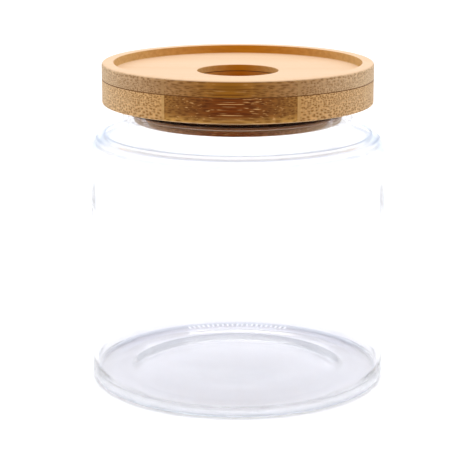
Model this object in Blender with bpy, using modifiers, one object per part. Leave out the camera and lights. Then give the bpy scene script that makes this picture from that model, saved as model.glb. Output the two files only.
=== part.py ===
"""Lidded glass canister: a blown glass jar, a lid turned from three glued bamboo boards, and a silicone seal.

Blender 4.5. Metres, +Z up, origin at the centre of the base, on the surface that the jar stands on.
Each board of the lid is glued up from strips of bamboo whose fibres run along X, and then turned.
"""

import math

import bpy
from mathutils import Matrix, Vector

MM = 0.001

# The jar.
BODY_RADIUS = 50.0 * MM
GLASS_WALL = 2.0 * MM
FLOOR_THICKNESS = 3.0 * MM
SHOULDER_TOP = 85.2 * MM
SHOULDER_RADIUS = 6.0 * MM
HEEL_RADIUS = 2.2 * MM
FLOOR_CORNER_RADIUS = 3.0 * MM
NECK_RADIUS = 38.9 * MM
NECK_WALL = 2.2 * MM
NECK_TOP = 95.0 * MM
NECK_FOOT_RADIUS = 1.2 * MM
NECK_ROOT_RADIUS = 1.5 * MM
RIM_RADIUS = 1.0 * MM
FOOT_RING_RADIUS = 37.0 * MM  # inner edge of the flat ring that the jar stands on
PUSH_UP = 1.4 * MM  # rise of the base's centre inside that ring
FLOOR_DOME = 0.8 * MM  # rise of the floor's centre

# The lid.
LID_RADIUS = 45.6 * MM
LID_TOP = 109.0 * MM
BOARD_SEAM = 103.65 * MM  # height of the glue line between the top board and the middle board
LID_UNDERSIDE = 95.3 * MM
RECESS_RADIUS = 41.6 * MM
RECESS_DEPTH = 3.1 * MM
RECESS_FILLET = 0.6 * MM
FINGER_HOLE_RADIUS = 13.6 * MM
PLUG_RADIUS = 35.1 * MM
PLUG_BOTTOM = 89.4 * MM
LID_EDGE_RADIUS = 1.0 * MM
INNER_EDGE_RADIUS = 0.5 * MM
PLUG_EDGE_RADIUS = 0.8 * MM

# The bamboo strips.
STRIP_WIDTH = 23.7 * MM
LID_FIRST_JOINT = -40.5 * MM  # Y of the glue joint behind the front strip of the two lid boards
PLUG_FIRST_JOINT = -16.8 * MM
GLUE_GAP = 0.3 * MM
BLANK_MARGIN = 2.0 * MM  # how far a strip's blank stands out past the turned shape

# The seal and its groove in the plug.
GROOVE_BOTTOM = 91.1 * MM
GROOVE_TOP = 93.9 * MM
GROOVE_RADIUS = 33.1 * MM
FIT_GAP = 0.3 * MM
SEAL_BAND = 1.3 * MM
FIN_ROOT = 0.75 * MM
FIN_TIP = 0.45 * MM
FIN_LIFT = 0.25 * MM  # how much higher a fin's tip is than its root
FIN_INSET = 0.1 * MM  # from the band's edge to the nearer fin

SEGMENTS = 64
DOME_STEPS = 3
MERGE_DISTANCE = 0.01 * MM
SHARP_ANGLE = math.radians(35)

# Base colour, roughness and transmission of each material.
MATERIALS = {
    "clear_glass": ((0.93, 0.97, 0.98, 1.0), 0.02, 1.0),
    "bamboo_top": ((0.72, 0.49, 0.24, 1.0), 0.55, 0.0),
    "bamboo_middle": ((0.58, 0.36, 0.15, 1.0), 0.55, 0.0),
    "bamboo_plug": ((0.52, 0.32, 0.14, 1.0), 0.60, 0.0),
    "silicone": ((0.88, 0.86, 0.83, 1.0), 0.35, 0.4),
}


def clear_scene():
    for obj in list(bpy.data.objects):
        bpy.data.objects.remove(obj)


def new_collection(name):
    collection = bpy.data.collections.new(name)
    bpy.context.scene.collection.children.link(collection)
    return collection


def new_material(name):
    colour, roughness, transmission = MATERIALS[name]
    material = bpy.data.materials.new(name)
    material.use_nodes = True
    material.diffuse_color = colour
    shader = material.node_tree.nodes["Principled BSDF"]
    shader.inputs["Base Color"].default_value = colour
    shader.inputs["Roughness"].default_value = roughness
    shader.inputs["Transmission Weight"].default_value = transmission
    shader.inputs["Metallic"].default_value = 0.0
    return material


def rounded_corner(before, corner, after, radius, steps):
    """Points of the arc that rounds a corner of an outline and is tangent to both of its sides."""
    to_before = (before - corner).normalized()
    to_after = (after - corner).normalized()
    half_angle = to_before.angle(to_after) / 2
    centre = corner + (to_before + to_after).normalized() * radius / math.sin(half_angle)
    setback = radius / math.tan(half_angle)
    start = corner + to_before * setback - centre
    end = corner + to_after * setback - centre
    turn = start.angle_signed(end)
    return [centre + Matrix.Rotation(-turn * step / steps, 2) @ start for step in range(steps + 1)]


def rounded_outline(corners):
    """Outline points from corners of (radius, height), or (radius, height, rounding, steps) where rounded."""
    points = []
    for index, corner in enumerate(corners):
        here = Vector(corner[:2])
        if len(corner) == 2:
            points.append(here)
            continue
        before = Vector(corners[index - 1][:2])
        after = Vector(corners[(index + 1) % len(corners)][:2])
        points.extend(rounded_corner(before, here, after, corner[2], corner[3]))
    return points


def apply_modifiers(obj):
    """Replace the object's mesh with its evaluated one, shaded smooth between its sharp edges."""
    depsgraph = bpy.context.evaluated_depsgraph_get()
    mesh = bpy.data.meshes.new_from_object(obj.evaluated_get(depsgraph))
    obj.modifiers.clear()
    obj.data = mesh
    mesh.shade_smooth()
    mesh.set_sharp_from_angle(angle=SHARP_ANGLE)


def turned(name, outline, closed, collection):
    """A solid of revolution about Z, from an outline that runs down its outer side."""
    mesh = bpy.data.meshes.new(name)
    count = len(outline)
    edges = [(i, i + 1) for i in range(count - 1)]
    if closed:
        edges.append((count - 1, 0))
    mesh.from_pydata([(point.x, 0.0, point.y) for point in outline], edges, [])
    obj = bpy.data.objects.new(name, mesh)
    collection.objects.link(obj)
    screw = obj.modifiers.new("Turn", "SCREW")
    screw.axis = "Z"
    screw.angle = math.tau
    screw.steps = SEGMENTS
    screw.render_steps = SEGMENTS
    screw.use_merge_vertices = True
    screw.merge_threshold = MERGE_DISTANCE
    apply_modifiers(obj)
    return obj


def dome(height, rise):
    """Points from the axis outwards on a shallow dome that falls away with the square of the radius."""
    steps = [step / DOME_STEPS for step in range(DOME_STEPS + 1)]
    return [(FOOT_RING_RADIUS * step, height + rise * (1 - step**2)) for step in steps]


def jar_outline():
    """One line from the floor's centre, up the inside, over the rim and down the outside to the base's centre."""
    inner_radius = BODY_RADIUS - GLASS_WALL
    inner_shoulder = SHOULDER_TOP - GLASS_WALL
    bore_radius = NECK_RADIUS - NECK_WALL
    wall = [
        (inner_radius, FLOOR_THICKNESS, FLOOR_CORNER_RADIUS, 3),
        (inner_radius, inner_shoulder, SHOULDER_RADIUS - GLASS_WALL, 4),
        (bore_radius, inner_shoulder, NECK_ROOT_RADIUS, 2),
        (bore_radius, NECK_TOP, RIM_RADIUS, 2),
        (NECK_RADIUS, NECK_TOP, RIM_RADIUS, 2),
        (NECK_RADIUS, SHOULDER_TOP, NECK_FOOT_RADIUS, 2),
        (BODY_RADIUS, SHOULDER_TOP, SHOULDER_RADIUS, 5),
        (BODY_RADIUS, 0.0, HEEL_RADIUS, 3),
    ]
    base = dome(0.0, PUSH_UP)
    base.reverse()
    return rounded_outline(dome(FLOOR_THICKNESS, FLOOR_DOME) + wall + base)


def top_board_outline():
    """The board with the recess and the upper part of the finger hole."""
    recess_floor = LID_TOP - RECESS_DEPTH
    underside = BOARD_SEAM + GLUE_GAP / 2
    return rounded_outline(
        [
            (FINGER_HOLE_RADIUS, recess_floor, INNER_EDGE_RADIUS, 2),
            (RECESS_RADIUS, recess_floor, RECESS_FILLET, 2),
            (RECESS_RADIUS, LID_TOP, INNER_EDGE_RADIUS, 2),
            (LID_RADIUS, LID_TOP, LID_EDGE_RADIUS, 2),
            (LID_RADIUS, underside),
            (FINGER_HOLE_RADIUS, underside),
        ]
    )


def middle_board_outline():
    """The board that rests on the neck. The finger hole goes right through it."""
    top = BOARD_SEAM - GLUE_GAP / 2
    return rounded_outline(
        [
            (FINGER_HOLE_RADIUS, top),
            (LID_RADIUS, top),
            (LID_RADIUS, LID_UNDERSIDE, LID_EDGE_RADIUS, 2),
            (FINGER_HOLE_RADIUS, LID_UNDERSIDE),
        ]
    )


def plug_board_outline():
    """The board that enters the neck. Its top closes the finger hole, and its side holds the seal's groove."""
    top = LID_UNDERSIDE - GLUE_GAP
    return rounded_outline(
        [
            (0.0, top),
            (PLUG_RADIUS, top),
            (PLUG_RADIUS, GROOVE_TOP),
            (GROOVE_RADIUS, GROOVE_TOP),
            (GROOVE_RADIUS, GROOVE_BOTTOM),
            (PLUG_RADIUS, GROOVE_BOTTOM),
            (PLUG_RADIUS, PLUG_BOTTOM, PLUG_EDGE_RADIUS, 2),
            (0.0, PLUG_BOTTOM),
        ]
    )


def seal_outline():
    """A flat band in the groove, with two thin fins that reach for the neck's bore."""
    inner_radius = GROOVE_RADIUS + FIT_GAP
    band_radius = inner_radius + SEAL_BAND
    tip_radius = NECK_RADIUS - NECK_WALL - FIT_GAP
    top = GROOVE_TOP - FIT_GAP
    bottom = GROOVE_BOTTOM + FIT_GAP
    outline = [(inner_radius, top), (band_radius, top)]
    for root in (top - FIN_INSET, bottom + FIN_INSET + FIN_ROOT):
        tip = root + FIN_LIFT - (FIN_ROOT - FIN_TIP) / 2
        outline += [
            (band_radius, root),
            (tip_radius, tip),
            (tip_radius, tip - FIN_TIP),
            (band_radius, root - FIN_ROOT),
        ]
    outline += [(band_radius, bottom), (inner_radius, bottom)]
    return rounded_outline(outline)


def joint_planes(radius, first_joint):
    """Y of the board's front edge, of each glue joint behind it, and of its back edge."""
    planes = [-radius]
    joint = first_joint
    while joint < radius:
        planes.append(joint)
        joint += STRIP_WIDTH
    planes.append(radius)
    return planes


def bamboo_strip(name, front, back, low, high, reach, board, material):
    """A box between two glue joints, cut to the board's turned shape."""
    bpy.ops.mesh.primitive_cube_add(size=1.0, location=(0.0, (front + back) / 2, (low + high) / 2))
    strip = bpy.context.object
    strip.name = name
    strip.scale = (2 * reach, back - front, high - low)
    bpy.ops.object.transform_apply(location=False, rotation=False, scale=True)
    strip.data.materials.append(material)
    cut = strip.modifiers.new("Turned shape", "BOOLEAN")
    cut.operation = "INTERSECT"
    cut.solver = "EXACT"
    cut.object = board
    apply_modifiers(strip)
    return strip


def glued_board(name, outline, closed, radius, first_joint, heights, material, collection, cutters):
    """The strips of one board, numbered from the front."""
    board = turned(f"{name}_shape", outline, closed, cutters)
    board.hide_render = True
    board.display_type = "WIRE"
    planes = joint_planes(radius, first_joint)
    reach = radius + BLANK_MARGIN
    low = heights[0] - BLANK_MARGIN
    high = heights[1] + BLANK_MARGIN
    last = len(planes) - 1
    for number in range(1, last + 1):
        front = -reach if number == 1 else planes[number - 1] + GLUE_GAP / 2
        back = reach if number == last else planes[number] - GLUE_GAP / 2
        strip = bamboo_strip(f"{name}_strip_{number}", front, back, low, high, reach, board, material)
        for owner in list(strip.users_collection):
            owner.objects.unlink(strip)
        collection.objects.link(strip)


def build():
    clear_scene()
    canister = new_collection("glass_canister")
    cutters = new_collection("turned_shapes")
    materials = {name: new_material(name) for name in MATERIALS}

    jar = turned("glass_jar", jar_outline(), False, canister)
    jar.data.materials.append(materials["clear_glass"])

    seal = turned("sealing_ring", seal_outline(), True, canister)
    seal.data.materials.append(materials["silicone"])

    glued_board(
        "top_board",
        top_board_outline(),
        True,
        LID_RADIUS,
        LID_FIRST_JOINT,
        (BOARD_SEAM, LID_TOP),
        materials["bamboo_top"],
        canister,
        cutters,
    )
    glued_board(
        "middle_board",
        middle_board_outline(),
        True,
        LID_RADIUS,
        LID_FIRST_JOINT,
        (LID_UNDERSIDE, BOARD_SEAM),
        materials["bamboo_middle"],
        canister,
        cutters,
    )
    glued_board(
        "plug_board",
        plug_board_outline(),
        False,
        PLUG_RADIUS,
        PLUG_FIRST_JOINT,
        (PLUG_BOTTOM, LID_UNDERSIDE),
        materials["bamboo_plug"],
        canister,
        cutters,
    )


build()
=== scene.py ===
import math

import bmesh
import bpy
import numpy as np
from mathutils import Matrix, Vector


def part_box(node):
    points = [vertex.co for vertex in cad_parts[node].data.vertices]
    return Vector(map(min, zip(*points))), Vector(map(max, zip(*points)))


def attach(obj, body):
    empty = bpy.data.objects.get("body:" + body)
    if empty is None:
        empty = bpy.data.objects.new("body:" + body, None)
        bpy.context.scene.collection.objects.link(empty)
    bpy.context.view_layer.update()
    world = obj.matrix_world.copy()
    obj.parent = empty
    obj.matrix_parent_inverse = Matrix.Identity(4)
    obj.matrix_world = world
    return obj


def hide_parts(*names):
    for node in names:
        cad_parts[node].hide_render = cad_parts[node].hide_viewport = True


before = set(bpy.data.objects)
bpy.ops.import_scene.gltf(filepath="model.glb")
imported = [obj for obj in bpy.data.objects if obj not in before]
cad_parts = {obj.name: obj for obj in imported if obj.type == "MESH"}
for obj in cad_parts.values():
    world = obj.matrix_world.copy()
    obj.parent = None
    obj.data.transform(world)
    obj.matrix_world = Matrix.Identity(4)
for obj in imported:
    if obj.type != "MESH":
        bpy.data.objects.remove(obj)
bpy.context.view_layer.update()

mm = 0.001
samePoint = 1e-6  # metres; corners nearer than this are welded
tooShort = 1e-7  # metres; shorter steps of a profile are left out
print("frame loaded:", len(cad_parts), "CAD nodes")

camera = {
    "distance": 565.5 * mm,  # from the canister's axis, level
    "height": 187.1 * mm,
    "azimuth": 3.1,  # degrees to the right of straight on
    "pitch": 13.4,
    "yaw": 0.435,  # turned left of the axis
    "lens": 135.57,
    "sensor": 36.0,
    "clip": (0.01, 50.0),
}


def addCamera(settings):
    data = bpy.data.cameras.new("studioCamera")
    data.lens = settings["lens"]
    data.sensor_width = settings["sensor"]
    data.clip_start, data.clip_end = settings["clip"]
    obj = bpy.data.objects.new("studioCamera", data)
    bpy.context.scene.collection.objects.link(obj)
    side = math.radians(settings["azimuth"])
    obj.location = (
        settings["distance"] * math.sin(side),
        -settings["distance"] * math.cos(side),
        settings["height"],
    )
    obj.rotation_euler = (
        math.radians(90 - settings["pitch"]),
        0.0,
        side + math.radians(settings["yaw"]),
    )
    bpy.context.scene.camera = obj


addCamera(camera)
print("camera placed")


def linearColour(colour):
    # screen colour 0-255 to linear light: ((c + 0.055) / 1.055) ^ 2.4, or c / 12.92 in the darkest tones
    c = np.array(colour, dtype=float) / 255.0
    line = np.where(c > 0.04045, ((c + 0.055) / 1.055) ** 2.4, c / 12.92)
    return (*line.tolist(), 1.0)


def roundedProfile(corners, steps):
    # Each corner (radius, height, rounding) becomes an arc tangent to both sides. Its centre is rounding /
    # sin(half) away along the bisector, and its first spoke turns through the angle to its last spoke.
    corners = np.array(corners, dtype=float)
    here, rounding = corners[:, :2], corners[:, 2:3]
    toBefore = np.roll(here, 1, axis=0) - here
    toAfter = np.roll(here, -1, axis=0) - here
    toBefore /= np.linalg.norm(toBefore, axis=1, keepdims=True)
    toAfter /= np.linalg.norm(toAfter, axis=1, keepdims=True)
    cosine = (toBefore * toAfter).sum(axis=1, keepdims=True)
    cosine = np.clip(cosine, -0.9999, 0.9999)  # a corner on a straight run keeps a finite bisector
    half = np.arccos(cosine) / 2
    bisector = toBefore + toAfter
    bisector /= np.linalg.norm(bisector, axis=1, keepdims=True)
    centre = here + bisector * rounding / np.sin(half)
    first = here + toBefore * rounding / np.tan(half) - centre
    last = here + toAfter * rounding / np.tan(half) - centre
    turn = np.arctan2(first[:, 0] * last[:, 1] - first[:, 1] * last[:, 0], (first * last).sum(axis=1))
    angle = turn[:, None] * np.linspace(0, 1, steps)[None, :]
    x = centre[:, :1] + first[:, :1] * np.cos(angle) - first[:, 1:] * np.sin(angle)
    z = centre[:, 1:] + first[:, :1] * np.sin(angle) + first[:, 1:] * np.cos(angle)
    points = np.stack([x.ravel(), z.ravel()], axis=1)
    moved = np.linalg.norm(np.diff(points, axis=0), axis=1) > tooShort
    return points[np.concatenate([[True], moved])]


def filledProfile(points, longest):
    # The same line with extra points, evenly spaced by arc length, except where a point is already near.
    length = np.concatenate([[0], np.cumsum(np.linalg.norm(np.diff(points, axis=0), axis=1))])
    even = np.linspace(0, length[-1], int(length[-1] / longest) + 2)
    near = longest * 0.3
    even = even[np.min(np.abs(even[:, None] - length[None, :]), axis=1) > near]
    where = np.sort(np.concatenate([length, even]))
    columns = [np.interp(where, length, points[:, i]) for i in range(2)]
    return np.stack(columns, axis=1)


def turnedPoints(profile, around):
    # point(s, a) = (radius(s) cos a, radius(s) sin a, height(s))
    angle = np.linspace(0, math.tau, around, endpoint=False)
    radius, height = profile[:, :1], profile[:, 1:]
    return np.stack([radius * np.cos(angle), radius * np.sin(angle), height + 0 * angle], axis=2)


def gridMesh(name, points, closedProfile):
    # A grid of points becomes quads. The columns close into a ring, and the rows too if the profile is closed
    rows, columns = points.shape[:2]
    index = np.arange(rows * columns).reshape(rows, columns)
    index = np.hstack([index, index[:, :1]])
    if closedProfile:
        index = np.vstack([index, index[:1]])
    quads = np.stack([index[:-1, :-1], index[1:, :-1], index[1:, 1:], index[:-1, 1:]], axis=2).reshape(-1, 4)
    mesh = bpy.data.meshes.new(name)
    mesh.from_pydata(points.reshape(-1, 3).tolist(), [], quads.tolist())
    return mesh


def addPiece(name, mesh, body, node, material, sharpAngle=40):
    mesh.materials.append(material)
    mesh.shade_smooth()
    mesh.set_sharp_from_angle(angle=math.radians(sharpAngle))
    obj = bpy.data.objects.new(name, mesh)
    bpy.context.scene.collection.objects.link(obj)
    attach(obj, body)
    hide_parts(node)
    return obj


def weldPoles(mesh):
    work = bmesh.new()
    work.from_mesh(mesh)
    bmesh.ops.remove_doubles(work, verts=work.verts, dist=samePoint)
    work.to_mesh(mesh)
    work.free()


def nodeMaker(tree):
    # A function that adds a node to the tree, sets its fields, and links or sets its sockets.
    def node(kind, feeds=None, **fields):
        made = tree.nodes.new("ShaderNode" + kind)
        for field, value in fields.items():
            setattr(made, field, value)
        for socket, value in (feeds or {}).items():
            if isinstance(value, bpy.types.NodeSocket):
                tree.links.new(value, made.inputs[socket])
            else:
                made.inputs[socket].default_value = value
        return made

    return node


def newTree(name):
    # A material with a Principled shader, its node maker, and the function that links two sockets.
    material = bpy.data.materials.new(name)
    material.use_nodes = True
    tree = material.node_tree
    tree.nodes.clear()
    node = nodeMaker(tree)
    shader = node("BsdfPrincipled")
    node("OutputMaterial", {"Surface": shader.outputs[0]})
    return material, shader, node, tree.links.new


def fade(node, value, low, high, first=0.0, last=1.0):
    # first at low, last at high and beyond, and between them first + (last - first) * t^2 (3 - 2 t)
    feeds = {"Value": value, "From Min": low, "From Max": high, "To Min": first, "To Max": last}
    return node("MapRange", feeds, interpolation_type="SMOOTHSTEP").outputs[0]


def ramp(node, value, low, high, first=0.0, last=1.0):
    # first at low, last at high and beyond, and a straight line between them
    feeds = {"Value": value, "From Min": low, "From Max": high, "To Min": first, "To Max": last}
    return node("MapRange", feeds).outputs[0]


def maths(node, operation, first, second=0.0):
    return node("Math", {0: first, 1: second}, operation=operation).outputs[0]


def product(node, first, *others):
    # first * every other value
    for other in others:
        first = maths(node, "MULTIPLY", first, other)
    return first


def within(node, value, start, end):
    # rises from 0 to 1 across the pair start, and falls back to 0 across the pair end
    return product(node, fade(node, value, *start), fade(node, value, *end, 1.0, 0.0))


def mixed(node, factor, first, second, blend="MIX"):
    return node("Mix", {0: factor, 6: first, 7: second}, data_type="RGBA", blend_type=blend).outputs[2]


def noise(node, vector, scale, detail, roughness=0.5):
    feeds = {"Vector": vector, "Scale": scale, "Detail": detail, "Roughness": roughness}
    return node("TexNoise", feeds)


def splitPlace(node):
    # object coordinates, their x, y and z, and the distance from the upright axis, sqrt(x^2 + y^2)
    place = node("TexCoord").outputs["Object"]
    axes = node("SeparateXYZ", {0: place}).outputs
    level = node("CombineXYZ", {0: axes[0], 1: axes[1]}).outputs[0]
    radius = node("VectorMath", {0: level}, operation="LENGTH").outputs["Value"]
    return place, axes[0], axes[1], axes[2], radius


bamboo = {
    "grain": (20, 1000, 1000),  # pattern units per metre along and across the fibres
    "stray": (25, 160, 160),  # the same for the waves that bend the fibres
    "wander": 0.7,  # mm that the fibres stray from straight
    "bundleCoarse": 0.92,  # mm between fibre bundles on the bark side
    "bundleFine": 0.60,  # and on the pith side
    "bundleScatter": 0.7,
    "bundleEdge": (0.38, 0.20),  # cells from a bundle's centre to where its dark spot starts and is full
    "sheathEdge": (0.40, 0.62),  # the same for the pale wood between the bundles
    "streakScale": 0.9,
    "patchScale": 0.12,
    "noiseSpan": (0.35, 0.65),  # the part of the noise's range that is stretched to 0-1
    "streakDepth": 0.4,
    "lineScale": 2.3,
    "lineEdge": (0.60, 0.70),
    "lineTurn": (0.6, 0.25),  # pale fibres fade out where the rim turns to end grain
    "endPower": 1.7,  # how late the colour turns from painted front shade to end grain with painted side light on the way round the rim
    "bundleTint": (0.60, 0.47, 0.30, 1.0),  # the ground is multiplied by these
    "sheathTint": (1.30, 1.27, 1.22, 1.0),
    "line": (196, 148, 92),  # single pale fibres
    "faceTint": (0.93, 0.86, 0.76, 1.0),
    "faceDepth": 0.35,
    "faceUp": (0.35, 0.9),  # normal's z where the rim's look gives way to the sanded face's
    "faceDown": (-0.3, -1.1),  # the same for faces that look down
    "glue": (108, 66, 28),
    "glueHeight": (0.17 * mm, 0.09 * mm),  # from the seam to where the glue starts and is full
    "lowColour": (206, 160, 84),  # paler wood towards the bark side
    "lowHeight": (3.0 * mm, 0.3 * mm),
    "skin": (0.65 * mm, 0.35 * mm),  # plain pale wood along a strip's front joint
    "skinTint": (1.10, 1.12, 1.08, 1.0),
    "driftSpan": (-15 * mm, 45 * mm),  # the wood darkens from left to right over this
    "innerEdge": 0.4 * mm,  # width of the change to the inner colours
    "roughness": (0.48, 0.68),  # of the ground and of a bundle
    "bump": 0.25,
    "bumpHeight": 0.1 * mm,
    "gloss": 0.08,
}

# front: long grain, darkened by painted shade where the rim faces along y; end: end grain with painted side
# light;
# inner: the same two inside a given radius; face: the sanded flat faces
bambooTones = {
    "top": {
        "front": (129, 81, 14), "end": (200, 173, 138), "face": (222, 190, 156),
        "innerFront": (182, 114, 18), "innerEnd": (204, 166, 108), "innerRadius": 42.6 * mm,
        "dots": 0.75, "lines": 0.35, "drift": 0.0, "low": 0.0,
    },
    "middle": {
        "front": (166, 118, 52), "end": (204, 174, 134), "face": (226, 190, 140),
        "innerFront": (172, 98, 10), "innerEnd": (206, 160, 96), "innerRadius": 16 * mm,
        "dots": 1.0, "lines": 0.2, "drift": 0.22, "low": 0.0,
    },
    "dark": {
        "front": (99, 45, 0), "end": (204, 162, 88), "face": (226, 190, 140),
        "innerFront": (172, 98, 10), "innerEnd": (206, 160, 96), "innerRadius": 16 * mm,
        "dots": 0.8, "lines": 1.0, "drift": 0.1, "low": 0.45,
    },
    "plug": {
        "front": (108, 55, 10), "end": (176, 156, 130), "face": (200, 158, 108),
        # the plug's inner colours are painted shadow in its groove under the seal; its pale end colour holds a
        # painted reflection of the jar's glass
        "innerFront": (30, 10, 4), "innerEnd": (80, 56, 40), "innerRadius": 34.6 * mm,
        "dots": 0.7, "lines": 0.7, "drift": 0.0, "low": 0.0,
    },
}


def bentGrain(node, place, seed):
    # grain = place * scale + shift, and y and z are pushed by 2 * wander * (noise - 0.5)
    shift = np.random.default_rng(seed).uniform(-40, 40, 3).tolist()
    wander = (0.0, 2 * bamboo["wander"], 2 * bamboo["wander"])
    grain = node("Mapping", {"Vector": place, "Location": shift, "Scale": bamboo["grain"]}).outputs[0]
    stray = node("Mapping", {"Vector": place, "Location": shift[::-1], "Scale": bamboo["stray"]}).outputs[0]
    waves = noise(node, stray, scale=1.0, detail=1.0).outputs["Color"]
    centred = node("VectorMath", {0: waves, 1: (0.5, 0.5, 0.5)}, operation="SUBTRACT").outputs[0]
    push = node("VectorMath", {0: centred, 1: wander}, operation="MULTIPLY").outputs[0]
    bent = node("VectorMath", {0: grain, 1: push}, operation="ADD").outputs[0]
    return grain, bent


def bundleDistance(node, bent, z, bark):
    # Distance to the nearest scattered centre in the y-z plane, in cells that are fine at the pith side and
    # coarse at the bark side.
    axes = node("SeparateXYZ", {0: bent}).outputs
    section = node("CombineXYZ", {0: axes[1], 1: axes[2]}).outputs[0]
    spread = []
    for cell in (bamboo["bundleFine"], bamboo["bundleCoarse"]):
        feeds = {"Vector": section, "Scale": 1 / cell, "Randomness": bamboo["bundleScatter"]}
        spread.append(node("TexVoronoi", feeds, voronoi_dimensions="2D").outputs["Distance"])
    across = ramp(node, z, *bark)
    return node("Mix", {0: across, 2: spread[0], 3: spread[1]}).outputs[0]


def bambooMaterial(name, tone, seed, bark, joint, seam):
    # Fibres run along x, so bundles depend on y and z only; bark = (height of the pith side, of the bark side)
    # outer = front + (end - front) * (|x| / radius)^endPower, then tinted by skin, drift and low
    # inner = innerFront + (innerEnd - innerFront) * the same power
    # rim = (inner inside innerRadius, else outer) * streaks * sheaths * bundles, with pale lines
    # face = face tone * streaks, colour = rim + (face - rim) * slope, and glue near the seam's height
    material, shader, node, link = newTree(name)
    place, x, y, z, radius = splitPlace(node)
    grain, bent = bentGrain(node, place, seed)
    bundle = bundleDistance(node, bent, z, bark)

    # front to end runs from painted shade where the rim faces along y to end grain with painted side light
    turned = maths(node, "DIVIDE", maths(node, "ABSOLUTE", x), radius)
    endGrainAndSideLight = maths(node, "POWER", turned, bamboo["endPower"])
    inside = fade(node, radius, tone["innerRadius"], tone["innerRadius"] - bamboo["innerEdge"])
    skin = fade(node, y, *(joint + width for width in bamboo["skin"]))
    outside = maths(node, "SUBTRACT", 1.0, inside)
    shown = product(node, outside, maths(node, "SUBTRACT", 1.0, skin), tone["dots"])

    streaks = noise(node, grain, bamboo["streakScale"], detail=4.0, roughness=0.6).outputs["Fac"]
    patches = noise(node, grain, bamboo["patchScale"], detail=2.0).outputs["Fac"]
    fibres = noise(node, grain, bamboo["lineScale"], detail=2.0).outputs["Fac"]
    fleck = ramp(node, streaks, *bamboo["noiseSpan"])
    patch = ramp(node, patches, *bamboo["noiseSpan"])
    line = fade(node, fibres, *bamboo["lineEdge"], 0.0, tone["lines"])
    line = product(node, line, fade(node, turned, *bamboo["lineTurn"]), shown)
    dot = product(node, fade(node, bundle, *bamboo["bundleEdge"]), shown)
    sheath = product(node, fade(node, bundle, *bamboo["sheathEdge"]), shown)

    outer = mixed(node, endGrainAndSideLight, linearColour(tone["front"]), linearColour(tone["end"]))
    outer = mixed(node, skin, outer, bamboo["skinTint"], "MULTIPLY")
    drift = fade(node, x, *bamboo["driftSpan"], 0.0, tone["drift"])
    outer = mixed(node, drift, outer, bamboo["bundleTint"], "MULTIPLY")
    low = fade(node, z, *(bark[1] + height for height in bamboo["lowHeight"]), 0.0, tone["low"])
    outer = mixed(node, low, outer, linearColour(bamboo["lowColour"]))
    inner = mixed(node, endGrainAndSideLight, linearColour(tone["innerFront"]), linearColour(tone["innerEnd"]))
    ground = mixed(node, inside, outer, inner)
    streaked = product(node, fleck, bamboo["streakDepth"])
    ground = mixed(node, streaked, ground, bamboo["bundleTint"], "MULTIPLY")
    ground = mixed(node, sheath, ground, bamboo["sheathTint"], "MULTIPLY")
    ground = mixed(node, line, ground, linearColour(bamboo["line"]))
    rim = mixed(node, dot, ground, bamboo["bundleTint"], "MULTIPLY")

    soft = product(node, maths(node, "ADD", fleck, patch), bamboo["faceDepth"])
    face = mixed(node, soft, linearColour(tone["face"]), bamboo["faceTint"], "MULTIPLY")
    upright = node("SeparateXYZ", {0: node("TexCoord").outputs["Normal"]}).outputs[2]
    up = fade(node, upright, *bamboo["faceUp"])
    down = fade(node, upright, *bamboo["faceDown"])
    colour = mixed(node, maths(node, "MAXIMUM", up, down), rim, face)
    apart = maths(node, "ABSOLUTE", maths(node, "SUBTRACT", z, seam))
    glue = fade(node, apart, *bamboo["glueHeight"])
    link(mixed(node, glue, colour, linearColour(bamboo["glue"])), shader.inputs["Base Color"])

    link(ramp(node, dot, 0.0, 1.0, *bamboo["roughness"]), shader.inputs["Roughness"])
    shader.inputs["Specular IOR Level"].default_value = bamboo["gloss"]
    relief = maths(node, "SUBTRACT", streaks, dot)
    feeds = {"Height": relief, "Strength": bamboo["bump"], "Distance": bamboo["bumpHeight"]}
    link(node("Bump", feeds).outputs[0], shader.inputs["Normal"])
    return material


lid = {
    "radius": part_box("top_board_strip_3")[1][0],
    "top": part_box("top_board_strip_3")[1][2],
    "seam": (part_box("top_board_strip_3")[0][2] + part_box("middle_board_strip_3")[1][2]) / 2,
    "underside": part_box("middle_board_strip_3")[0][2],
    "recessRadius": 41.6 * mm,
    "recessDepth": 3.1 * mm,
    "recessFillet": 0.6 * mm,
    "holeRadius": 13.6 * mm,
    "edge": 1.0 * mm,  # rounding of the lid's top outer edge
    "lowerEdge": 0.55 * mm,
    "innerEdge": 0.35 * mm,
    "glueEdge": 0.10 * mm,  # the boards' edges at the glue line
    "glueGap": 0.05 * mm,  # between two boards
    "around": 288,
    "steps": 9,
    "sawCut": 0.02 * mm,  # between neighbouring strips
}
plug = {
    "radius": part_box("plug_board_strip_2")[1][0],
    "bottom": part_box("plug_board_strip_2")[0][2],
    "edge": 0.4 * mm,
    "groove": (91.1 * mm, 93.9 * mm),
    "grooveEdge": 0.1 * mm,
    "grooveRadius": 33.1 * mm,
}


def topBoardProfile():
    floor = lid["top"] - lid["recessDepth"]
    under = lid["seam"] + lid["glueGap"] / 2
    corners = [
        (lid["holeRadius"], floor, lid["innerEdge"]),
        (lid["recessRadius"], floor, lid["recessFillet"]),
        (lid["recessRadius"], lid["top"], lid["innerEdge"]),
        (lid["radius"], lid["top"], lid["edge"]),
        (lid["radius"], under, lid["glueEdge"]),
        (lid["holeRadius"], under, lid["glueEdge"]),
    ]
    return roundedProfile(corners, lid["steps"])


def middleBoardProfile():
    top = lid["seam"] - lid["glueGap"] / 2
    corners = [
        (lid["holeRadius"], top, lid["glueEdge"]),
        (lid["radius"], top, lid["glueEdge"]),
        (lid["radius"], lid["underside"], lid["lowerEdge"]),
        (lid["holeRadius"], lid["underside"], 0.0),
    ]
    return roundedProfile(corners, lid["steps"])


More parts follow.
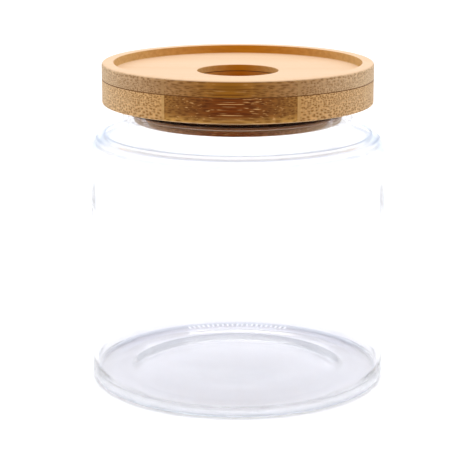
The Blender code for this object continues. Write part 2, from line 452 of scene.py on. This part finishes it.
def plugBoardProfile():
    top = lid["underside"] - lid["glueGap"]
    low, high = plug["groove"]
    corners = [
        (0.0, top, 0.0),
        (plug["radius"], top, 0.0),
        (plug["radius"], high, plug["grooveEdge"]),
        (plug["grooveRadius"], high, 0.0),
        (plug["grooveRadius"], low, 0.0),
        (plug["radius"], low, plug["grooveEdge"]),
        (plug["radius"], plug["bottom"], plug["edge"]),
        (0.0, plug["bottom"], 0.0),
    ]
    return roundedProfile(corners, lid["steps"])


def cutStrip(board, front, back):
    # The part of a turned board with front < y < back: cut by two planes, and the open sections closed.
    work = bmesh.new()
    work.from_mesh(board)
    bmesh.ops.remove_doubles(work, verts=work.verts, dist=samePoint)
    for place, facing in ((front, -1), (back, 1)):
        everything = work.verts[:] + work.edges[:] + work.faces[:]
        cut = bmesh.ops.bisect_plane(
            work,
            geom=everything,
            dist=tooShort,
            plane_co=(0, place, 0),
            plane_no=(0, facing, 0),
            clear_outer=True,
        )
        rim = [part for part in cut["geom_cut"] if isinstance(part, bmesh.types.BMEdge)]
        if rim:
            bmesh.ops.edgeloop_fill(work, edges=rim)
    mesh = bpy.data.meshes.new("strip")
    bmesh.ops.recalc_face_normals(work, faces=work.faces)
    work.to_mesh(mesh)
    work.free()
    return mesh


boards = {
    "top": {
        "node": "top_board",
        "slot": "bamboo_top",
        "profile": topBoardProfile,
        "closed": True,
        "tones": ["top"] * 5,  # one for each strip, from the front
        "bark": (lid["seam"], lid["top"]),  # heights of the pith side and of the bark side
        "seed": 11,
    },
    "middle": {
        "node": "middle_board",
        "slot": "bamboo_middle",
        "profile": middleBoardProfile,
        "closed": True,
        "tones": ["dark"] + ["middle"] * 4,
        "bark": (lid["seam"], lid["underside"]),
        "seed": 31,
    },
    "plug": {
        "node": "plug_board",
        "slot": "bamboo_plug",
        "profile": plugBoardProfile,
        "closed": False,
        "tones": ["plug"] * 4,
        "bark": (plug["bottom"], lid["underside"]),
        "seed": 53,
    },
}


def makeBoard(label, board):
    # Strips are cut where the CAD strips meet: halfway across the gap between two neighbours' boxes. The
    # first and the last have no joint outside, so their outer cut is farther out than the board.
    whole = gridMesh(label, turnedPoints(board["profile"](), lid["around"]), board["closed"])
    node, bark, count = board["node"], board["bark"], len(board["tones"])
    boxes = [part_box(f"{node}_strip_{i + 1}") for i in range(count)]
    joints = [(boxes[i][1][1] + boxes[i + 1][0][1]) / 2 for i in range(count - 1)]
    beyond = 1.0
    fronts = [-beyond] + [y + lid["sawCut"] / 2 for y in joints]
    backs = [y - lid["sawCut"] / 2 for y in joints] + [beyond]
    for i in range(count):
        name, tone = f"{label}Bamboo{i + 1}", bambooTones[board["tones"][i]]
        material = bambooMaterial(name, tone, board["seed"] + i, bark, fronts[i], bark[0])
        mesh = cutStrip(whole, fronts[i], backs[i])
        addPiece(f"{label}Strip{i + 1}", mesh, "lid", f"{node}_strip_{i + 1}", material)
    bpy.data.meshes.remove(whole)
    print(label, "board:", count, "strips")


for label, board in boards.items():
    makeBoard(label, board)

jar = {
    "radius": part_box("glass_jar")[1][0],
    "neckTop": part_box("glass_jar")[1][2],
    "wall": 1.5 * mm,
    "floor": 3.0 * mm,
    "shoulderTop": 85.2 * mm,
    "shoulder": 6.0 * mm,
    "heel": 2.2 * mm,
    "floorCorner": 1.4 * mm,
    "neckRadius": 38.9 * mm,
    "neckWall": 1.8 * mm,
    "rim": 1.0 * mm,
    "footRing": 37.0 * mm,
    "pushUp": 1.4 * mm,
    "floorDome": 0.8 * mm,
    "around": 256,
    "steps": 16,
    "longest": 2.0 * mm,  # of the profile's straight steps
    "domeSteps": 24,
    "neckInside": 1.5 * mm,  # rounding under the neck
    "neckFoot": 1.2 * mm,
    "wave": 0.012 * mm,  # unevenness of blown glass
    "waveTurns": (5, 3),
    "waveRise": (90, -40),
    "sharp": 60,  # degrees
}

# share: the part of the light that a surface bends and tints, while the rest passes straight on
# A pair gives where a fade starts and ends, and a pair of pairs the fades on both sides of a zone.
glass = {
    "baseIor": 1.45,
    "wallIor": 1.15,  # low, as a bright studio washes out what the thin wall bends
    "iorFall": (3.6 * mm, 7 * mm),
    "tint": (0.968, 0.972, 0.993, 1.0),
    "baseShare": 0.6,
    "baseEnd": (4 * mm, 7 * mm),
    "footShare": 0.9,
    "footEnd": (1.8 * mm, 3.0 * mm),
    "neckShare": 0.25,
    "neckRise": (25 * mm, 80 * mm),
    "neckPower": 3.0,
    "paintedEdgeReflection": (0.84, 0.885, 0.95, 1.0),  # painted reflection along the lower wall's outline
    "edgeFacing": (0.72, 1.0),
    "edgeEnd": (25 * mm, 40 * mm),
    "paintedShoulderReflection": (0.40, 0.53, 0.72, 1.0),  # painted reflection in the shoulder's outline
    "shoulderShare": 0.28,
    "shoulderFacing": (0.58, 0.76),
    "shoulderHeight": (74 * mm, 80 * mm),
    "shoulderRadius": (42.5 * mm, 44.5 * mm),
    "paintedRimReflection": (0.62, 0.70, 0.80, 1.0),  # painted reflection in the neck's outline and its rim
    "rimShare": 0.5,
    "rimDepth": (-1.4 * mm, -0.6 * mm),
    "neckFacing": (0.75, 0.95),
    "neckHeight": (85.4 * mm, 86 * mm),
    "rings": (47.6 * mm, 45.0 * mm),  # radii of two faint painted reflection lines where the shoulder turns
    "ringHalf": 0.5 * mm,
    "ringCore": 0.4,  # part of a ring's width that has its full strength
    "paintedRingReflection": (0.45, 0.47, 0.55, 1.0),
    "ringShare": 0.4,
    "ringHeight": (78 * mm, 79 * mm),
    "paintedFootShade": (0.54, 0.57, 0.61, 1.0),  # painted shade along the foot
    "footLine": (1.4 * mm, 2.8 * mm),
    "footRadius": (47.0 * mm, 48.0 * mm),
    "paintedFarShade": (0.76, 0.76, 0.81, 1.0),  # painted shade: a band and an arc on the far half of the floor
    "farTurn": (0.9, 1.5),  # radians away from the back
    "farHeight": (2.0 * mm, 2.5 * mm),
    "bandRadius": ((41.0 * mm, 43 * mm), (48.6 * mm, 49 * mm)),
    "bandTop": (4.0 * mm, 8.0 * mm),
    "arcRadius": ((30.5 * mm, 31.5 * mm), (34.5 * mm, 36 * mm)),
    "spotCentre": 3.1,  # degrees left of the back; a painted reflection of a row of lamps, glowing at the far side of the floor
    "spotApart": 2.3,  # degrees from one to the next
    "spotSpan": 25.0,  # degrees from the centre to either end
    "spotEnd": 0.95,  # part of the span where the last spots start to fade
    "spotRadius": 45.6 * mm,
    "spotHalf": 1.7 * mm,
    "spotWave": (-0.2, 0.7),  # height of the cosine wave where a spot starts and is full
    "spotTop": (4.0 * mm, 5.0 * mm),
    "paintedLampGlow": 0.6,
    "smearScale": 60.0,  # faint patches that are a little rough
    "smearSpan": (0.5, 0.75),
    "smearRoughness": 0.03,
}


def jarProfile():
    # From the middle of the floor up the inside, over the rim and down the outside to the middle of the base.
    # With s = radius / footRing: height of the floor = floor + floorDome * (1 - s^2)^2, and of the base =
    # pushUp * (1 - s^6).
    inner = jar["radius"] - jar["wall"]
    innerShoulder = jar["shoulderTop"] - jar["wall"]
    bore = jar["neckRadius"] - jar["neckWall"]
    steps = np.linspace(0, 1, jar["domeSteps"])
    floor = [(jar["footRing"] * s, jar["floor"] + jar["floorDome"] * (1 - s**2) ** 2, 0) for s in steps]
    base = [(jar["footRing"] * s, jar["pushUp"] * (1 - s**6), 0) for s in steps[::-1]]
    corners = floor + [
        (inner, jar["floor"], jar["floorCorner"]),
        (inner, innerShoulder, jar["shoulder"] - jar["wall"]),
        (bore, innerShoulder, jar["neckInside"]),
        (bore, jar["neckTop"], jar["rim"]),
        (jar["neckRadius"], jar["neckTop"], jar["rim"]),
        (jar["neckRadius"], jar["shoulderTop"], jar["neckFoot"]),
        (jar["radius"], jar["shoulderTop"], jar["shoulder"]),
        (jar["radius"], 0.0, jar["heel"]),
    ] + base
    return filledProfile(roundedProfile(corners, jar["steps"]), jar["longest"])


def ringAt(node, radius, place, half):
    # 1 at the radius asked for, falling to 0 at half the ring's width from it
    apart = maths(node, "ABSOLUTE", maths(node, "SUBTRACT", radius, place))
    return fade(node, apart, half * glass["ringCore"], half, 1.0, 0.0)


def glassZones(node, x, y, height, radius):
    # Each zone is 1 inside and 0 outside: a product of fades over height, radius, facing or the angle from
    # the back.
    # each zone marks where a reflection, a shade or a row of lamp reflections is painted on the glass
    facing = node("LayerWeight", {"Blend": 0.5}).outputs["Facing"]
    rimTop = (jar["neckTop"] + depth for depth in glass["rimDepth"])
    neck = product(node, fade(node, height, *glass["neckHeight"]), fade(node, facing, *glass["neckFacing"]))
    around = maths(node, "ADD", maths(node, "ARCTAN2", x, y), math.radians(glass["spotCentre"]))
    away = maths(node, "ABSOLUTE", around)
    band = within(node, radius, *glass["bandRadius"])
    band = product(node, band, within(node, height, glass["farHeight"], glass["bandTop"]))
    arc = product(node, within(node, radius, *glass["arcRadius"]), fade(node, height, *glass["farHeight"]))
    rings = [ringAt(node, radius, place, glass["ringHalf"]) for place in glass["rings"]]
    wave = math.tau / math.radians(glass["spotApart"])
    wave = maths(node, "COSINE", maths(node, "MULTIPLY", around, wave))
    span = math.radians(glass["spotSpan"])
    return {
        "edge": product(
            node,
            fade(node, facing, *glass["edgeFacing"]),
            fade(node, height, *glass["edgeEnd"], 1.0, 0.0),
        ),
        "shoulder": product(
            node,
            fade(node, facing, *glass["shoulderFacing"]),
            fade(node, height, *glass["shoulderHeight"]),
            fade(node, radius, *glass["shoulderRadius"]),
        ),
        "rim": maths(node, "MAXIMUM", fade(node, height, *rimTop), neck),
        "rings": product(
            node,
            maths(node, "MAXIMUM", *rings),
            fade(node, height, *glass["ringHeight"]),
        ),
        "foot": product(
            node,
            fade(node, height, *glass["footLine"], 1.0, 0.0),
            fade(node, radius, *glass["footRadius"]),
        ),
        "far": product(
            node,
            maths(node, "MAXIMUM", band, arc),
            fade(node, away, *glass["farTurn"], 1.0, 0.0),
        ),
        "spots": product(
            node,
            fade(node, wave, *glass["spotWave"]),
            ringAt(node, radius, glass["spotRadius"], glass["spotHalf"]),
            fade(node, away, span * glass["spotEnd"], span, 1.0, 0.0),
            within(node, height, glass["farHeight"], glass["spotTop"]),
        ),
    }


def glassMaterial():
    # colour = tint, replaced by painted reflections in the outline zones of the lower wall, the shoulder and
    # the neck, and multiplied by painted reflection lines on the shoulder and painted shade at the foot and
    # the far floor.
    # share = (baseShare, or footShare at the foot, rising to 1 in the wall) * (a fall from 1 to neckShare)
    # + what some zones add. The refraction index falls from baseIor to wallIor.
    material, shader, node, link = newTree("clearGlass")
    place, x, y, height, radius = splitPlace(node)
    zone = glassZones(node, x, y, height, radius)

    tint = mixed(node, zone["edge"], glass["tint"], glass["paintedEdgeReflection"])
    tint = mixed(node, zone["shoulder"], tint, glass["paintedShoulderReflection"])
    tint = mixed(node, zone["rim"], tint, glass["paintedRimReflection"])
    tint = mixed(node, zone["rings"], tint, glass["paintedRingReflection"], "MULTIPLY")
    tint = mixed(node, zone["foot"], tint, glass["paintedFootShade"], "MULTIPLY")
    tint = mixed(node, zone["far"], tint, glass["paintedFarShade"], "MULTIPLY")
    link(tint, shader.inputs["Base Color"])

    extra = glass["footShare"] - glass["baseShare"]
    below = fade(node, height, *glass["baseEnd"], glass["baseShare"], 1.0)
    below = maths(node, "ADD", below, fade(node, height, *glass["footEnd"], extra, 0.0))
    rise = maths(node, "POWER", fade(node, height, *glass["neckRise"]), glass["neckPower"])
    share = product(node, below, fade(node, rise, 0.0, 1.0, 1.0, glass["neckShare"]))
    added = {
        "shoulder": glass["shoulderShare"],
        "rings": glass["ringShare"],
        "rim": glass["rimShare"],
        "far": extra,
    }
    for name, amount in added.items():
        share = maths(node, "ADD", share, product(node, zone[name], amount))
    link(share, shader.inputs["Alpha"])

    index = fade(node, height, *glass["iorFall"], glass["baseIor"], glass["wallIor"])
    link(index, shader.inputs["IOR"])
    # the painted lamp reflections are a glow of the glass itself
    link(product(node, zone["spots"], glass["paintedLampGlow"]), shader.inputs["Emission Strength"])
    shader.inputs["Emission Color"].default_value = (1.0, 1.0, 1.0, 1.0)
    shader.inputs["Transmission Weight"].default_value = 1.0
    smear = noise(node, place, glass["smearScale"], detail=3.0).outputs["Fac"]
    smear = fade(node, smear, *glass["smearSpan"], 0.0, glass["smearRoughness"])
    link(smear, shader.inputs["Roughness"])
    return material


def makeJar():
    # radius(s, a) = profile radius - |swell|, with swell = wave * (profile radius / jar radius)^4 times
    # sin(turns * a + rise * z) for each pair of waveTurns and waveRise
    points = turnedPoints(jarProfile(), jar["around"])
    angle = np.linspace(0, math.tau, jar["around"], endpoint=False)[None, :]
    height = points[:, :, 2]
    radius = np.hypot(points[:, :, 0], points[:, :, 1])
    swell = np.full_like(height, jar["wave"])
    for turns, rise in zip(jar["waveTurns"], jar["waveRise"]):
        swell *= np.sin(turns * angle + rise * height)
    swell *= np.clip(radius / jar["radius"], 0, 1) ** 4
    scale = 1 - np.abs(swell) / np.maximum(radius, samePoint)
    points[:, :, 0] *= scale
    points[:, :, 1] *= scale
    mesh = gridMesh("jarGlass", points, False)
    weldPoles(mesh)
    addPiece("jarGlass", mesh, "jar", "glass_jar", glassMaterial(), jar["sharp"])
    print("jar:", len(mesh.polygons), "faces")


makeJar()

seal = {
    "bandRadius": 34.0 * mm,
    "tipRadius": 36.62 * mm,
    "upperUnder": 93.62 * mm,  # height of the upper fin's underside
    "lowerTop": 92.35 * mm,  # height of the lower fin's top at the band
    "lowerLift": 0.12 * mm,  # from there to the lip
    "grooveGap": 0.05 * mm,
    "backRound": 0.02 * mm,
    "finRound": 0.08 * mm,
    "rootRound": 0.05 * mm,
    "lip": (0.5 * mm, 0.45 * mm, 0.9 * mm),  # the lower fin's lip: its flat, its drop and its slope back
    "lipRound": (0.25 * mm, 0.2 * mm),
    "around": 256,
    "steps": 6,
    "front": (112, 70, 40),  # the wood shows through
    # the colour at grazing angles: a painted sheen
    "rim": (162, 134, 112),
    "turn": (0.05, 0.6),
    "deepTint": (0.25, 0.18, 0.14, 1.0),  # in the shade of the groove
    "deep": (36.0 * mm, 34.2 * mm),
    "cloudScale": 160.0,
    "cloudBase": 0.5,
    "roughness": (0.4, 0.6),
    "ior": 1.41,
    "gloss": 0.05,
    "clear": 0.1,
}


def sealProfile():
    # A band in the groove with two fins: the upper one is flat, and the lower one ends in a drooping lip
    low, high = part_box("sealing_ring")[0][2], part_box("sealing_ring")[1][2]
    inner = plug["grooveRadius"] + seal["grooveGap"]
    band, tip = seal["bandRadius"], seal["tipRadius"]
    flat, drop, slope = seal["lip"]
    corners = [
        (inner, high, seal["backRound"]),
        (tip, high, seal["finRound"]),
        (tip, seal["upperUnder"], seal["finRound"]),
        (band, seal["upperUnder"], seal["rootRound"]),
        (band, seal["lowerTop"], seal["rootRound"]),
        (tip - flat, seal["lowerTop"] + seal["lowerLift"], seal["lipRound"][0]),
        (tip, seal["lowerTop"] - drop, seal["lipRound"][1]),
        (tip - slope, low, seal["lipRound"][1]),
        (inner, low, seal["backRound"]),
    ]
    return roundedProfile(corners, seal["steps"])


def siliconeMaterial():
    # colour = front + (rim - front) * facing * (cloudBase + cloud), times deepTint deep in the groove
    # the rim colour, reached at grazing angles, is a painted sheen; deepTint is painted shade in the groove
    material, shader, node, link = newTree("silicone")
    spot = splitPlace(node)
    place, radius = spot[0], spot[-1]
    cloud = noise(node, place, seal["cloudScale"], detail=3.0).outputs["Fac"]
    facing = node("LayerWeight", {"Blend": 0.5}).outputs["Facing"]
    mottledSheen = product(node, ramp(node, facing, *seal["turn"]), maths(node, "ADD", cloud, seal["cloudBase"]))
    colour = mixed(node, mottledSheen, linearColour(seal["front"]), linearColour(seal["rim"]))
    deep = ramp(node, radius, *seal["deep"])
    link(mixed(node, deep, colour, seal["deepTint"], "MULTIPLY"), shader.inputs["Base Color"])
    link(ramp(node, cloud, 0.0, 1.0, *seal["roughness"]), shader.inputs["Roughness"])
    shader.inputs["IOR"].default_value = seal["ior"]
    shader.inputs["Specular IOR Level"].default_value = seal["gloss"]
    shader.inputs["Transmission Weight"].default_value = seal["clear"]
    return material


addPiece(
    "lidSeal",
    gridMesh("lidSeal", turnedPoints(sealProfile(), seal["around"]), True),
    "seal", "sealing_ring", siliconeMaterial(),
)
print("seal made")

studio = {
    "floorSize": 8.0,
    "floorDepth": 0.05 * mm,  # below the canister's foot
    "floorColour": (0.95, 0.95, 0.95, 1.0),
    "floorPatch": 0.995,  # brightness of the darker patches
    "floorPatchScale": 3.0,
    "floorRoughness": 0.9,
    "skyColour": (0.95, 0.96, 1.0, 1.0),
    "skyStrength": 1.15,
    "skyFront": 0.85,  # share of the light that comes from the camera's side
    "skyFacing": (0.05, -1.0, 0.0),  # the front
    "skyTurn": (0.1, 0.95),  # cosine to that direction where the sky starts to darken and is darkest
    "topPower": 9.0,
    "topSize": 1.0,
    "topPlace": (0, 0.1, 1.5),
    "bounces": {"max": 24, "transmission": 24, "glossy": 12, "diffuse": 6},
}


def addFloor():
    half = studio["floorSize"] / 2
    corners = [(-half, -half, 0), (half, -half, 0), (half, half, 0), (-half, half, 0)]
    mesh = bpy.data.meshes.new("studioFloor")
    mesh.from_pydata(corners, [], [(0, 1, 2, 3)])
    obj = bpy.data.objects.new("studioFloor", mesh)
    obj.location.z = -studio["floorDepth"]
    bpy.context.scene.collection.objects.link(obj)
    material, shader, node, link = newTree("studioFloor")
    place = node("TexCoord").outputs["Object"]
    cloud = noise(node, place, studio["floorPatchScale"], detail=2.0).outputs["Fac"]
    patch = [c * studio["floorPatch"] for c in studio["floorColour"][:3]] + [1.0]
    link(mixed(node, cloud, studio["floorColour"], patch), shader.inputs["Base Color"])
    shader.inputs["Roughness"].default_value = studio["floorRoughness"]
    shader.inputs["Specular IOR Level"].default_value = 0.0
    mesh.materials.append(material)


def addTopLight():
    data = bpy.data.lights.new("topSoftbox", "AREA")
    data.energy = studio["topPower"]
    data.size = studio["topSize"]
    obj = bpy.data.objects.new("topSoftbox", data)
    obj.location = studio["topPlace"]
    bpy.context.scene.collection.objects.link(obj)


def addSky():
    # strength = skyStrength, falling smoothly to skyStrength * skyFront as the direction turns to the front
    world = bpy.data.worlds.new("studioSky")
    bpy.context.scene.world = world
    world.use_nodes = True
    world.node_tree.nodes.clear()
    node = nodeMaker(world.node_tree)
    direction = node("TexCoord").outputs["Generated"]
    front = node("VectorMath", {0: direction, 1: studio["skyFacing"]}, operation="DOT_PRODUCT")
    full = studio["skyStrength"]
    strength = fade(node, front.outputs["Value"], *studio["skyTurn"], full, full * studio["skyFront"])
    sky = node("Background", {"Color": studio["skyColour"], "Strength": strength})
    node("OutputWorld", {"Surface": sky.outputs[0]})


addFloor()
addTopLight()
addSky()
bpy.context.scene.view_settings.view_transform = "Standard"
for kind, count in studio["bounces"].items():
    setattr(bpy.context.scene.cycles, kind + "_bounces", count)
bpy.context.scene.cycles.blur_glossy = 0.0
print("studio ready")
